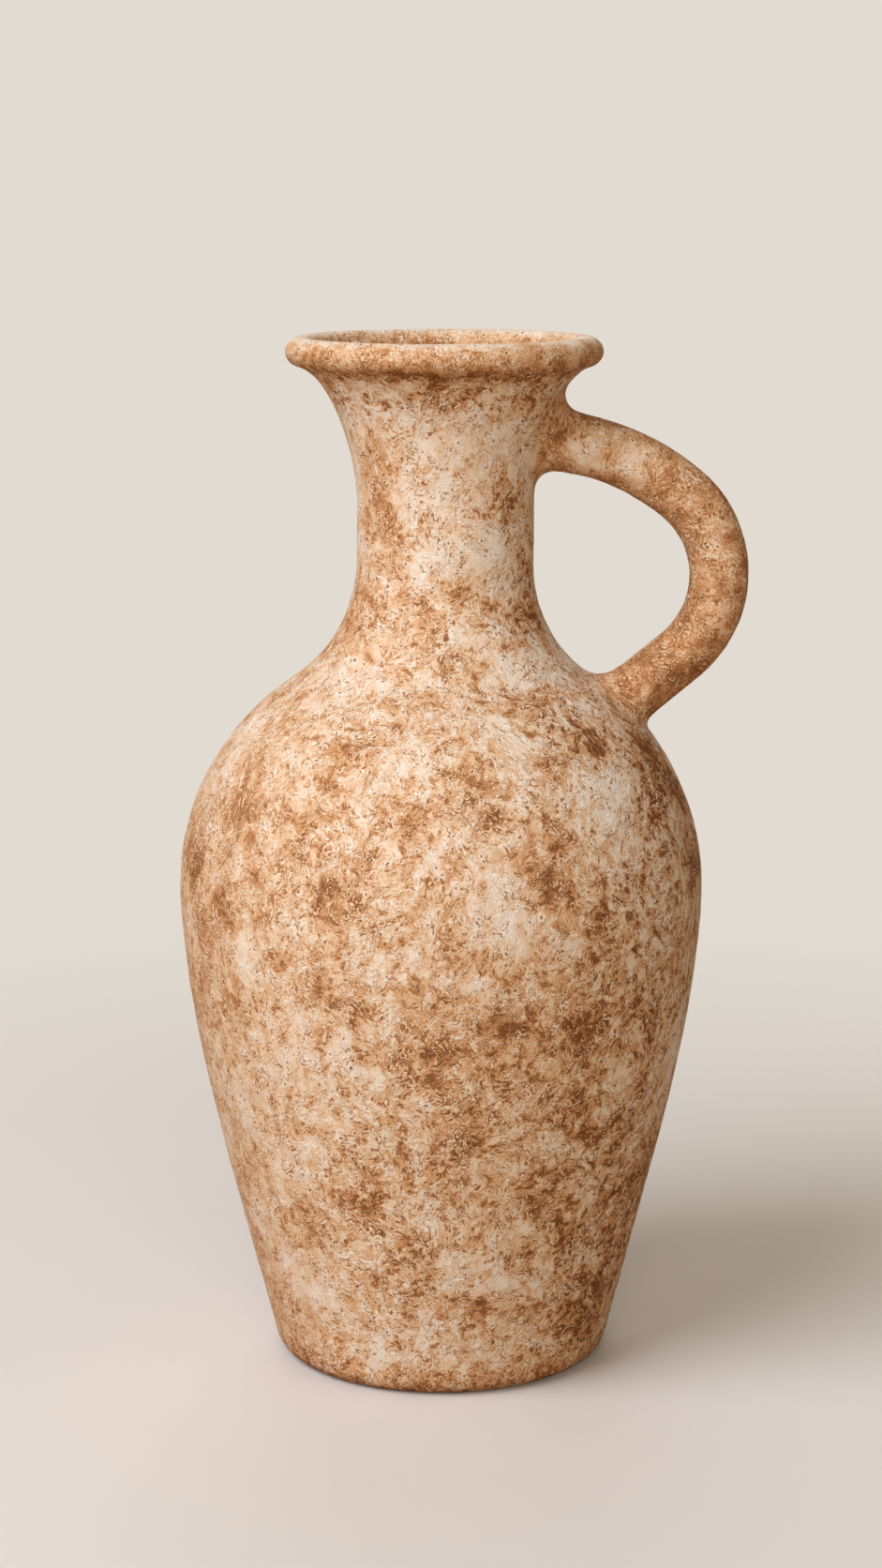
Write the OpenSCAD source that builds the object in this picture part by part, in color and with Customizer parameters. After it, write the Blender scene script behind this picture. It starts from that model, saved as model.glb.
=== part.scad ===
// Ceramic pouring jug with one rod handle, made of clay sections that are luted together.
// Millimetres, +Z up. The origin is the middle of the foot, on the ground.
// The handle stands on +X, and the jug is the same on both sides of the XZ plane.

/* [Overall] */
// Height from the ground to the top of the lip
jug_h = 360; // [354:1:370]
// Thickness of the wall
wall_t = 7; // [5:0.5:9]

/* [Foot] */
// Radius at which the line of the wall meets the ground
foot_r = 57.5; // [52:0.5:62]
// Lean of the wall above the foot, in degrees from upright
foot_lean = 14; // [10:0.5:18]
// Rounding of the edge of the foot
foot_round = 8.5; // [4:0.5:10]
// Thickness of the base disc
base_t = 10; // [9:0.5:14]
// Rounding inside, where the wall stands on the base
corner_round = 10; // [6:1:16]

/* [Body] */
// Radius of the belly, the widest part
belly_r = 91.5; // [86:0.5:98]
// Height of the belly
belly_z = 168.5; // [160:0.5:176]
// How far the wall keeps its lean above the base
wall_pull = 49.5; // [35:0.5:60]
// How far the wall stands upright below the belly
belly_pull = 44.5; // [30:0.5:55]
// Radius of the curve of the shoulder
shoulder_round = 88.5; // [80:0.5:95]

/* [Neck] */
// Radius of the neck at its narrowest
neck_r = 30.5; // [27:0.5:34]
// Height at which the neck becomes straight
neck_z = 283; // [276:1:290]
// Length of the straight part of the neck
neck_straight = 20; // [12:1:26]
// How far the flare stays upright above the straight part
flare_rise = 12.5; // [6:0.5:18]
// Lean of the flare where it meets the lip, in degrees from upright
flare_lean = 74.5; // [66:0.5:80]
// How far the flare keeps that lean below the lip
flare_pull = 14; // [8:0.5:16]

/* [Lip] */
// Radius of the outer edge of the lip
lip_r = 54.5; // [50:0.5:58]
// Half the width of the rolled lip
lip_w = 5.5; // [4.5:0.5:6.5]
// Half the height of the rolled lip
lip_h = 5; // [4.5:0.5:6.5]

/* [Handle] */
// Radius of the rod at the neck
rod_r = 10.5; // [9:0.25:11.5]
// How much thinner each length of the rod is than the one above it
rod_taper = 0.15; // [0.1:0.05:0.4]
// Distance of the start of the upper bend from the axis of the jug
bend_x = 46; // [43:0.5:50]
// Height of the start of the upper bend
bend_z = 323.5; // [320:0.5:326]
// Dip of the rod where it leaves the neck, in degrees
rod_dip = 10; // [6:0.5:14]
// Radius of the upper bend
upper_bend_r = 78; // [72:1:84]
// Turn of the upper bend, in degrees
upper_turn = 31; // [28:0.5:34]
// Radius of the outer bend
outer_bend_r = 36.5; // [33:0.5:39]
// Turn of the outer bend, in degrees
outer_turn = 99.5; // [95:0.5:104]
// Radius of the tenons that plug into the wall
tenon_r = 6.5; // [5:0.5:7.5]

/* [Handle roots] */
// Fillet above the upper root
upper_root_top = 9; // [4:0.5:10]
// Fillet under the upper root
upper_root_under = 6.5; // [3:0.5:8]
// Fillet above the lower root, in the loop of the handle
lower_root_top = 8; // [4:0.5:10]
// Fillet under the lower root
lower_root_under = 4; // [3:0.5:8]
// Thickness of the worked edge of a fillet
root_edge = 0.4; // [0.3:0.1:0.8]

/* [Hidden] */
$fn = 180;

// A station is a point of the outer line and the way the line goes there, as [[r, z], [dr, dz]].
function way(a) = [cos(a), sin(a)];

function bezier(p, t) =
    pow(1 - t, 3) * p[0] + 3 * t * pow(1 - t, 2) * p[1] + 3 * t * t * (1 - t) * p[2] + pow(t, 3) * p[3];

function bezier_way(p, t) =
    let (v = pow(1 - t, 2) * (p[1] - p[0]) + 2 * t * (1 - t) * (p[2] - p[1]) + t * t * (p[3] - p[2]))
    v / norm(v);

function curve(p, n) = [for (k = [0 : n]) [bezier(p, k / n), bezier_way(p, k / n)]];

function arc(c, r, from, to, n) =
    [for (k = [0 : n])
        let (a = from + (to - from) * k / n)
        [c + r * way(a), sign(to - from) * way(a + 90)]];

function without_first(list) = [for (k = [1 : len(list) - 1]) list[k]];

// The point that lies a given depth behind a station, square to the wall
function behind(s, depth) = s[0] + depth * [-s[1][1], s[1][0]];

// Foot: the edge is rounded from the ground to the leaning line of the wall.
lean_way = [sin(foot_lean), cos(foot_lean)];
foot_touch = [foot_r, 0] + foot_round * (1 - sin(foot_lean)) / cos(foot_lean) * lean_way;
foot_c = foot_touch - foot_round * way(-foot_lean);
foot_edge = arc(foot_c, foot_round, -90, -foot_lean, 8);
wall_foot = [foot_r + base_t * tan(foot_lean), base_t];

// Inside corner: a cove between the inner line of the wall and the base.
cove_touch = wall_foot - [wall_t / cos(foot_lean), 0]
    + corner_round * (1 - sin(foot_lean)) / cos(foot_lean) * lean_way;
cove_c = cove_touch - corner_round * way(-foot_lean);
cove = [for (s = arc(cove_c, corner_round, -70, -foot_lean, 6)) s[0]];

// Body: a slow curve up to the belly, then a shoulder arc that turns over into the neck.
belly = [belly_r, belly_z];
body_line = [wall_foot, wall_foot + wall_pull * lean_way, belly - [0, belly_pull], belly];
shoulder_in = belly_r - neck_r;
shoulder_up = neck_z - belly_z;
throat_round = (pow(shoulder_in, 2) + pow(shoulder_up, 2)) / (2 * shoulder_in) - shoulder_round;
shoulder_c = [belly_r - shoulder_round, belly_z];
throat_c = [neck_r + throat_round, neck_z];
turn_over = atan2(throat_c[1] - shoulder_c[1], throat_c[0] - shoulder_c[0]);

// Flare and lip: the flare runs out to the underside of an oval roll.
neck_top = [neck_r, neck_z + neck_straight];
lip_c = [lip_r - lip_w, jug_h - lip_h];
lip_from = -atan(tan(flare_lean) * lip_h / lip_w);
flare_end = lip_c + [lip_w * cos(lip_from), lip_h * sin(lip_from)];
flare_line = [
    neck_top,
    neck_top + [0, flare_rise],
    flare_end - flare_pull * [sin(flare_lean), cos(flare_lean)],
    flare_end
];

// The outer line from the top of the base to the lip, and where its parts begin
body_n = 34;
shoulder_n = 18;
throat_n = 10;
flare_n = 12;
wall = concat(
    curve(body_line, body_n),
    without_first(arc(shoulder_c, shoulder_round, 0, turn_over, shoulder_n)),
    without_first(arc(throat_c, throat_round, turn_over + 180, 180, throat_n)),
    curve(flare_line, flare_n)
);
belly_k = body_n;
throat_k = belly_k + shoulder_n;
flare_k = throat_k + throat_n + 1;
end_k = flare_k + flare_n;
neck_seam_k = throat_k + 6;
lip_seam_k = end_k - 2;

// Seams are bevelled: on the inside they run one station higher than on the outside.
bevel = 1;

wall_table = [for (s = wall) [s[0][1], s[0][0]]];
function wall_r(z) = lookup(z, wall_table);
function is_outside(p) = norm([p[0], p[1]]) > wall_r(p[2]);

// Handle line in the XZ plane: a straight root, two bends and a straight root.
heading_0 = -rod_dip;
heading_1 = heading_0 - upper_turn;
heading_2 = heading_1 - outer_turn;
bend_0 = [bend_x, bend_z];
upper_bend_c = bend_0 - upper_bend_r * way(heading_0 + 90);
bend_1 = upper_bend_c + upper_bend_r * way(heading_1 + 90);
outer_bend_c = bend_1 - outer_bend_r * way(heading_1 + 90);
bend_2 = outer_bend_c + outer_bend_r * way(heading_2 + 90);
root_len = 2 * outer_bend_r;

// The four lengths of the rod, from the neck to the shoulder: each laps into the thicker one above it.
upper_bend_rod = rod_r - rod_taper;
outer_bend_rod = rod_r - 2 * rod_taper;
lower_rod = rod_r - 3 * rod_taper;
lap = 1.2;

// The point at distance rho from the axis of a root, at the angle phi from its top, s along the axis
function root_point(from, heading, rho, phi, s) =
    let (a = way(heading), up = way(heading + 90))
    [
        from[0] + s * a[0] + rho * cos(phi) * up[0],
        rho * sin(phi),
        from[1] + s * a[1] + rho * cos(phi) * up[1]
    ];

// How far along a root the wall is met, found by halving the step
function wall_reach(from, heading, rho, phi, low, high, n = 24) =
    n == 0 ? (low + high) / 2
    : let (mid = (low + high) / 2)
      is_outside(root_point(from, heading, rho, phi, mid))
        ? wall_reach(from, heading, rho, phi, low, mid, n - 1)
        : wall_reach(from, heading, rho, phi, mid, high, n - 1);

// Section of a fillet at one angle: a hollow curve from the rod to the wall, closed inside both of them
fillet_n = 8;
function fillet_section(from, heading, r, phi, size) =
    let (
        foot = wall_reach(from, heading, r, phi, -45, 15),
        toe = wall_reach(from, heading, r + size, phi, -45, 15),
        top = [r + root_edge, foot + size],
        corner = [r + root_edge, foot + root_edge],
        edge = [r + size, toe + root_edge]
    )
    concat(
        [for (k = [0 : fillet_n])
            let (t = k / fillet_n)
            pow(1 - t, 2) * top + 2 * t * (1 - t) * corner + t * t * edge],
        [[r + size, toe - 2], [r - 3, foot - 4], [r - 3, foot + size]]
    );

module turned(outline) {
    rotate([0, 0, 180])
        rotate_extrude()
            polygon(outline);
}

// Ring of wall between two stations, bevelled at the ends that are given a bevel
module wall_ring(low, high, low_bevel, high_bevel) {
    turned(concat(
        [for (k = [low : high]) wall[k][0]],
        [for (k = [high + high_bevel : -1 : low + low_bevel]) behind(wall[k], wall_t)]
    ));
}

// Solid of the jug between two stations, a given depth behind its outer line
module core(low, high, depth) {
    line = [for (k = [low : high]) behind(wall[k], depth)];
    turned(concat([[0, line[0][1]]], line, [[0, line[len(line) - 1][1]]]));
}

module along(from, heading) {
    translate([from[0], 0, from[1]])
        rotate([0, 90 - heading, 0])
            children();
}

// A bend of the rod that starts a lap early, inside the length above it
module rod_bend(c, bend_r, r, end_heading, turn) {
    early = lap / bend_r * 180 / PI;
    translate([c[0], 0, c[1]])
        rotate([90, 0, 0])
            rotate([0, 0, end_heading + 90])
                rotate_extrude(angle = turn + early)
                    translate([bend_r, 0])
                        circle(r = r);
}

module upper_straight(r) {
    along(bend_0, heading_0 + 180)
        cylinder(r = r, h = bend_x);
}

module lower_straight(r) {
    along(bend_2 - lap * way(heading_2), heading_2)
        cylinder(r = r, h = root_len);
}

// Clay worked round a root, from a fillet size at its top to another underneath
module root_fillet(from, heading, r, top, under) {
    steps = 40;
    rows = [for (i = [0 : steps - 1])
        let (phi = 360 * i / steps)
        let (size = (top + under) / 2 + (top - under) / 2 * cos(phi))
        [for (q = fillet_section(from, heading, r, phi, size)) root_point(from, heading, q[0], phi, q[1])]];
    n = len(rows[0]);
    polyhedron(
        points = [for (row = rows) each row],
        faces = [for (i = [0 : steps - 1], k = [0 : n - 1])
            let (
                j = (i + 1) % steps,
                m = (k + 1) % n,
                a = i * n + k,
                b = i * n + m,
                c = j * n + m,
                d = j * n + k
            )
            each [[a, b, c], [a, c, d]]]
    );
}

// Flat disc that the jug stands on
module base() {
    color("#a87b52")
        turned(concat(
            [[0, 0]],
            [for (s = foot_edge) s[0]],
            [wall_foot, [0, base_t]]
        ));
}

// Thrown wall from the base to the belly, with a cove pressed into the inner corner
module lower_body() {
    color("#b98a60")
        turned(concat(
            [for (k = [0 : belly_k]) wall[k][0]],
            [for (k = [belly_k + bevel : -1 : 4]) behind(wall[k], wall_t)],
            [for (k = [len(cove) - 1 : -1 : 0]) cove[k]],
            [[cove[0][0], base_t]]
        ));
}

// Thrown shoulder from the belly to the neck, bored for the lower tenon
module upper_body() {
    color("#c1946a")
        difference() {
            wall_ring(belly_k, neck_seam_k, bevel, bevel);
            lower_straight(tenon_r);
        }
}

// Thrown collar with its flare, bored for the upper tenon
module neck() {
    color("#b48459")
        difference() {
            wall_ring(neck_seam_k, lip_seam_k, bevel, 0);
            upper_straight(tenon_r);
        }
}

// Coil rolled over the mouth, from the flare round to the inner wall
module rim() {
    inner = wall[lip_seam_k];
    roll_end = 150;
    roll = [for (k = [0 : 18])
        let (u = lip_from + (roll_end - lip_from) * k / 18)
        lip_c + [lip_w * cos(u), lip_h * sin(u)]];
    roll_way = [-lip_w * sin(roll_end), lip_h * cos(roll_end)];
    mouth_line = [
        roll[18],
        roll[18] + 2.5 * roll_way / norm(roll_way),
        behind(inner, wall_t) + 2.5 * inner[1],
        behind(inner, wall_t)
    ];
    color("#c59a70")
        turned(concat(
            [for (k = [lip_seam_k : end_k]) wall[k][0]],
            without_first(roll),
            [for (k = [1 : 5]) bezier(mouth_line, k / 5)]
        ));
}

// Rod seated on the neck and the shoulder, with a tenon through each wall
module handle() {
    color("#ad7a4d")
        union() {
            rod_bend(upper_bend_c, upper_bend_r, upper_bend_rod, heading_1, upper_turn);
            rod_bend(outer_bend_c, outer_bend_r, outer_bend_rod, heading_2, outer_turn);
            difference() {
                upper_straight(rod_r);
                core(neck_seam_k, end_k, 0);
            }
            difference() {
                lower_straight(lower_rod);
                core(belly_k, neck_seam_k, 0);
            }
            difference() {
                upper_straight(tenon_r);
                core(neck_seam_k, lip_seam_k, wall_t);
            }
            difference() {
                lower_straight(tenon_r);
                core(belly_k, neck_seam_k, wall_t);
            }
        }
}

// Clay worked into the corner round the upper root
module upper_root() {
    color("#9f6f45")
        difference() {
            root_fillet(bend_0, heading_0, rod_r, upper_root_top, upper_root_under);
            core(neck_seam_k, end_k, 0);
            upper_straight(rod_r);
        }
}

// Clay worked into the corner round the lower root
module lower_root() {
    color("#9f6f45")
        difference() {
            root_fillet(bend_2, heading_2 + 180, lower_rod, lower_root_top, lower_root_under);
            core(belly_k, neck_seam_k, 0);
            lower_straight(lower_rod);
        }
}

base();
lower_body();
upper_body();
neck();
rim();
handle();
upper_root();
lower_root();
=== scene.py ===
import math

import bpy
import numpy as np
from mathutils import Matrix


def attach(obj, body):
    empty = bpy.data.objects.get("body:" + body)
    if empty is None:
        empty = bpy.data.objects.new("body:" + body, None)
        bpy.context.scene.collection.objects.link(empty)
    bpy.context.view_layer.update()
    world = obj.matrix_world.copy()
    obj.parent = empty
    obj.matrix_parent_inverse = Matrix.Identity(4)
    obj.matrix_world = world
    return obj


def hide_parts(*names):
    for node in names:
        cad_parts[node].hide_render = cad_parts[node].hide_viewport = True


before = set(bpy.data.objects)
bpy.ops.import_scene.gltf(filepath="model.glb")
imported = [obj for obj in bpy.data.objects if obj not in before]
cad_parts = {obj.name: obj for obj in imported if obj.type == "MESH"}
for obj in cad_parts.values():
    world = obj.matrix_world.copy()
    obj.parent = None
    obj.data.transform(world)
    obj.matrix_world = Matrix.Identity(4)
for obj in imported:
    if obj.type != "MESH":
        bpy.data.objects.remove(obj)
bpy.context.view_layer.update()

MM = 0.001

# The jug's own values, the same as in its solids: millimetres and degrees
JUG_H = 360.0
WALL_T = 7.0
FOOT_R = 57.5
FOOT_LEAN = 14.0
FOOT_ROUND = 8.5
BASE_T = 10.0
CORNER_ROUND = 10.0
BELLY_R = 91.5
BELLY_Z = 168.5
WALL_PULL = 49.5
BELLY_PULL = 44.5
SHOULDER_ROUND = 88.5
NECK_R = 30.5
NECK_Z = 283.0
NECK_STRAIGHT = 20.0
FLARE_RISE = 12.5
FLARE_LEAN = 74.5
FLARE_PULL = 14.0
LIP_R = 54.5
LIP_W = 5.5
LIP_H = 5.0
BEND_X = 46.0
BEND_Z = 323.5
ROD_DIP = 10.0
UPPER_BEND_R = 78.0
UPPER_TURN = 31.0
OUTER_BEND_R = 36.5
OUTER_TURN = 99.5

# Where two of the seams lie, as shares of the throat's arc and of the flare's curve
THROAT_SEAM = 0.6
FLARE_SEAM = 10 / 12

# The cove in the inner corner ends at this angle, just over the floor,
# and takes the place of this many points at the foot of the wall's inner line
COVE_END = -70.0
COVE_POINTS = 20

# The roll of the lip ends at this angle inside the mouth, and a short curve leads on from it
ROLL_END = 150.0
MOUTH_PULL = 2.5

# Mesh steps: points round the jug and the handle, then millimetres along the lines
ROUND_STEPS = 512
ROD_STEPS = 88
SKIN_STEP = 1.1
FOOT_STEP = 0.9
LIP_STEP = 0.8
MOUTH_STEP = 1.6
INSIDE_STEP = 5.0
ROD_STEP = 0.8

# Radii of the rings of points on the underside and on the floor inside
UNDERSIDE_RINGS = (6.0, 20.0, 35.0)
FLOOR_RINGS = (30.0, 18.0, 6.0)

# Rows of the straight ends of the handle, at the neck and at the shoulder, and of a root's fillet
ROD_END_ROWS = (16, 30)
FILLET_ROWS = 18

# Points of a curve and of an arc before they are spaced evenly
CURVE_POINTS = 600
ARC_POINTS = 400

# The neck stands a little nearer the handle than the foot does: height and shift in millimetres
NECK_SHIFT = ((0, 0.0), (205, 0.0), (250, 0.8), (290, 1.6), (318, 1.6), (345, 1.2), (361, 1.1))

# Radius of the handle along its length, from the neck (0) to the shoulder (1)
ROD_RADII = ((0.0, 10.6), (0.15, 10.4), (0.45, 10.3), (0.62, 10.2), (0.8, 10.0), (0.9, 10.0), (1.0, 10.25))

# The ends of the handle run this far into the wall, and their middle points lie a little deeper
ROD_SINK = 0.6
UPPER_CAP = (-1.0, 0.0, 0.2)
LOWER_CAP = (-0.8, 0.0, -0.6)

# Fillets of the handle's roots, above and under the rod
UPPER_ROOT = (10.5, 7.5)
LOWER_ROOT = (8.5, 4.2)

# A fillet's curve: how far it is pulled into the corner, of its size, and how far it starts off the rod.
# Its two edges run on by the lap and sink under the surface, and its back lies in the wall and the rod.
FILLET_PULL = 0.6
FILLET_LIFT = 0.02
FILLET_LAP = 0.6
FILLET_SINK = 0.25
HEEL_DEPTH = 1.2
CORNER_DEPTH = 1.0
SLOPE_STEP = 0.5

# Where the wall is looked for along a root, and how often the stretch is halved
REACH_LIMITS = (-45.0, 15.0)
HALVINGS = 40

SIDE = np.array([0.0, 1.0, 0.0])


# Noise on numpy arrays, the same on every run

NOISE_GAIN = 1.6


def lattice_gradients(cell, seed):
    """A fixed direction for each cell corner, from a whole-number hash."""
    h = cell[..., 0] * 374761393 + cell[..., 1] * 668265263 + cell[..., 2] * 2147483647 + seed * 1274126177
    h = (h ^ (h >> 13)) * 1274126177 & 0x7FFFFFFF
    h = (h ^ (h >> 16)) * 668265263 & 0x7FFFFFFF
    turn = (h & 0xFFFF) / 65536.0 * 2 * math.pi
    rise = ((h >> 12) & 0xFFFF) / 32768.0 - 1.0
    flat = np.sqrt(np.maximum(0.0, 1.0 - rise * rise))
    return np.stack([flat * np.cos(turn), flat * np.sin(turn), rise], -1)


def noise(points, size, seed):
    """Smooth noise of about -1 to 1 whose lumps are about size wide."""
    p = points / size
    base = np.floor(p).astype(np.int64)
    f = p - base
    u = f * f * f * (f * (f * 6 - 15) + 10)
    total = np.zeros(len(p))
    for dx in (0, 1):
        for dy in (0, 1):
            for dz in (0, 1):
                corner = np.array([dx, dy, dz])
                g = lattice_gradients(base + corner, seed)
                w = np.prod(np.where(corner == 1, u, 1 - u), axis=1)
                total += w * np.sum(g * (f - corner), axis=1)
    return total * NOISE_GAIN


def drifted(points, size, reach, seeds):
    """The points moved by noise, with one seed for each axis."""
    return points + reach * np.stack([noise(points, size, s) for s in seeds], 1)


def ease(x, low, high):
    """Smooth step from 0 at low to 1 at high."""
    t = np.clip((x - low) / (high - low), 0.0, 1.0)
    return t * t * (3 - 2 * t)


# Lines of the jug, as [r, z] points in millimetres. A line is its points and its direction at each of them.

def unit(v):
    return v / np.linalg.norm(v, axis=-1, keepdims=True)


def bezier_place(t, p0, p1, p2, p3):
    return (1 - t) ** 3 * p0 + 3 * t * (1 - t) ** 2 * p1 + 3 * t * t * (1 - t) * p2 + t ** 3 * p3


def bezier(p):
    t = np.linspace(0, 1, CURVE_POINTS)[:, None]
    p = np.asarray(p, float)
    way = (1 - t) ** 2 * (p[1] - p[0]) + 2 * t * (1 - t) * (p[2] - p[1]) + t * t * (p[3] - p[2])
    return bezier_place(t, *p), unit(way)


def arc(c, r, start, end):
    a = np.radians(np.linspace(start, end, ARC_POINTS))
    way = np.stack([-np.sin(a), np.cos(a)], 1) * np.sign(end - start)
    return np.asarray(c, float) + r * np.stack([np.cos(a), np.sin(a)], 1), way


def split(line, share):
    """Cut a line in two at a share of its points. Both halves keep the cut point."""
    k = round(share * (len(line[0]) - 1))
    return tuple(v[: k + 1] for v in line), tuple(v[k:] for v in line)


def joined(*lines):
    return tuple(np.concatenate([lines[0][k]] + [v[k][1:] for v in lines[1:]]) for k in (0, 1))


def behind(line):
    """The inner side of a line, a wall's thickness behind it, from its top down."""
    place, way = line
    return (place + WALL_T * np.stack([-way[:, 1], way[:, 0]], 1))[::-1]


def spaced(points, step):
    """The same line with even steps."""
    run = np.concatenate([[0], np.cumsum(np.linalg.norm(np.diff(points, axis=0), axis=1))])
    at = np.linspace(0, run[-1], max(2, math.ceil(run[-1] / step) + 1))
    return np.stack([np.interp(at, run, points[:, k]) for k in (0, 1)], 1)


lean = math.radians(FOOT_LEAN)
lean_way = np.array([math.sin(lean), math.cos(lean)])
wall_foot = np.array([FOOT_R + BASE_T * math.tan(lean), BASE_T])
belly = np.array([BELLY_R, BELLY_Z])


def rounded_corner(foot, radius, start):
    """Arc between the ground under a leaning line and that line, from a start angle on."""
    touch = foot + radius * (1 - math.sin(lean)) / math.cos(lean) * lean_way
    centre = touch - radius * np.array([math.cos(lean), -math.sin(lean)])
    return arc(centre, radius, start, -FOOT_LEAN)[0]


foot_arc = rounded_corner(np.array([FOOT_R, 0.0]), FOOT_ROUND, -90.0)
cove_arc = rounded_corner(wall_foot - [WALL_T / math.cos(lean), 0], CORNER_ROUND, COVE_END)

body = bezier([wall_foot, wall_foot + WALL_PULL * lean_way, belly - [0, BELLY_PULL], belly])
across, up = BELLY_R - NECK_R, NECK_Z - BELLY_Z
throat_round = (across ** 2 + up ** 2) / (2 * across) - SHOULDER_ROUND
shoulder_c = np.array([BELLY_R - SHOULDER_ROUND, BELLY_Z])
throat_c = np.array([NECK_R + throat_round, NECK_Z])
turn_over = math.degrees(math.atan2(*(throat_c - shoulder_c)[::-1]))
shoulder = arc(shoulder_c, SHOULDER_ROUND, 0, turn_over)
throat = arc(throat_c, throat_round, turn_over + 180, 180)

neck_top = np.array([NECK_R, NECK_Z + NECK_STRAIGHT])
flare_way = np.array([math.sin(math.radians(FLARE_LEAN)), math.cos(math.radians(FLARE_LEAN))])
lip_c = np.array([LIP_R - LIP_W, JUG_H - LIP_H])
lip_from = -math.atan(math.tan(math.radians(FLARE_LEAN)) * LIP_H / LIP_W)
flare_end = lip_c + [LIP_W * math.cos(lip_from), LIP_H * math.sin(lip_from)]
flare = bezier([neck_top, neck_top + [0, FLARE_RISE], flare_end - FLARE_PULL * flare_way, flare_end])

throat_low, throat_high = split(throat, THROAT_SEAM)
flare_low, flare_high = split(flare, FLARE_SEAM)
straight = (np.stack([throat[0][-1], neck_top]), np.array([[0.0, 1.0], [0.0, 1.0]]))
shoulder_line = joined(shoulder, throat_low)
neck_line = joined(throat_high, straight, flare_low)

roll_turn = np.linspace(lip_from, math.radians(ROLL_END), ARC_POINTS)
roll = lip_c + np.stack([LIP_W * np.cos(roll_turn), LIP_H * np.sin(roll_turn)], 1)
roll_way = unit(np.array([-LIP_W * math.sin(roll_turn[-1]), LIP_H * math.cos(roll_turn[-1])]))
mouth_edge = behind(flare_low)[0]
mouth = bezier([
    roll[-1],
    roll[-1] + MOUTH_PULL * roll_way,
    mouth_edge + MOUTH_PULL * flare_low[1][-1],
    mouth_edge,
])[0]

outer_points = joined(body, shoulder, throat, straight, flare)[0]


def wall_radius(z):
    return np.interp(z, outer_points[:, 1], outer_points[:, 0])


def shift(z):
    return np.interp(z, *zip(*NECK_SHIFT))


# The skin runs from the middle of the underside over the lip to the middle of the floor inside.
# Each stretch ends where the next begins.
body_inside = np.concatenate([behind(body)[:-COVE_POINTS], cove_arc[::-1], [[cove_arc[0][0], BASE_T]]])
STRETCHES = (
    ("underside", np.array([[r, 0.0] for r in (*UNDERSIDE_RINGS, foot_arc[0][0])])),
    ("foot", spaced(np.concatenate([foot_arc, [wall_foot]]), FOOT_STEP)),
    ("body", spaced(body[0], SKIN_STEP)),
    ("shoulder", spaced(shoulder_line[0], SKIN_STEP)),
    ("neck", spaced(neck_line[0], SKIN_STEP)),
    ("lip", spaced(np.concatenate([flare_high[0], roll[1:], mouth[1:]]), LIP_STEP)),
    ("neck_inside", spaced(behind(neck_line), MOUTH_STEP)),
    ("shoulder_inside", spaced(behind(shoulder_line), INSIDE_STEP)),
    ("body_inside", spaced(body_inside, INSIDE_STEP)),
    ("floor", np.array([[r, BASE_T] for r in (cove_arc[0][0], *FLOOR_RINGS)])),
)


# Handle: its line lies in the XZ plane, from the neck to the shoulder

def heading_way(h):
    """Direction in the XZ plane, at an angle from +X towards +Z."""
    h = np.asarray(h, float)
    return np.stack([np.cos(np.radians(h)), np.zeros_like(h), np.sin(np.radians(h))], -1)


HEAD_0 = -ROD_DIP
HEAD_1 = HEAD_0 - UPPER_TURN
HEAD_2 = HEAD_1 - OUTER_TURN
bend_0 = np.array([BEND_X, 0, BEND_Z])
upper_c = bend_0 - UPPER_BEND_R * heading_way(HEAD_0 + 90)
bend_1 = upper_c + UPPER_BEND_R * heading_way(HEAD_1 + 90)
outer_c = bend_1 - OUTER_BEND_R * heading_way(HEAD_1 + 90)
bend_2 = outer_c + OUTER_BEND_R * heading_way(HEAD_2 + 90)

# Lengths along the handle's line: the two bends, and a straight end before and after them
UPPER_RUN = math.radians(UPPER_TURN) * UPPER_BEND_R
OUTER_RUN = math.radians(OUTER_TURN) * OUTER_BEND_R
ROD_RUNS = (15.0, UPPER_RUN, OUTER_RUN, 30.0)


def rod_point(share):
    """Points on the handle's line, at shares of its length from the neck."""
    at = np.asarray(share, float) * sum(ROD_RUNS)
    marks = np.cumsum(ROD_RUNS)
    upper_head = HEAD_0 - np.degrees((at - marks[0]) / UPPER_BEND_R)
    outer_head = HEAD_1 - np.degrees((at - marks[1]) / OUTER_BEND_R)
    start = bend_0 + (at - marks[0])[:, None] * heading_way(HEAD_0)
    upper = upper_c + UPPER_BEND_R * heading_way(upper_head + 90)
    outer = outer_c + OUTER_BEND_R * heading_way(outer_head + 90)
    end = bend_2 + (at - marks[2])[:, None] * heading_way(HEAD_2)
    before = [(at < mark)[:, None] for mark in marks[:3]]
    return np.select(before, [start, upper, outer], end)


# Relief of the surface and its patches of pale and dark wash

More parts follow.
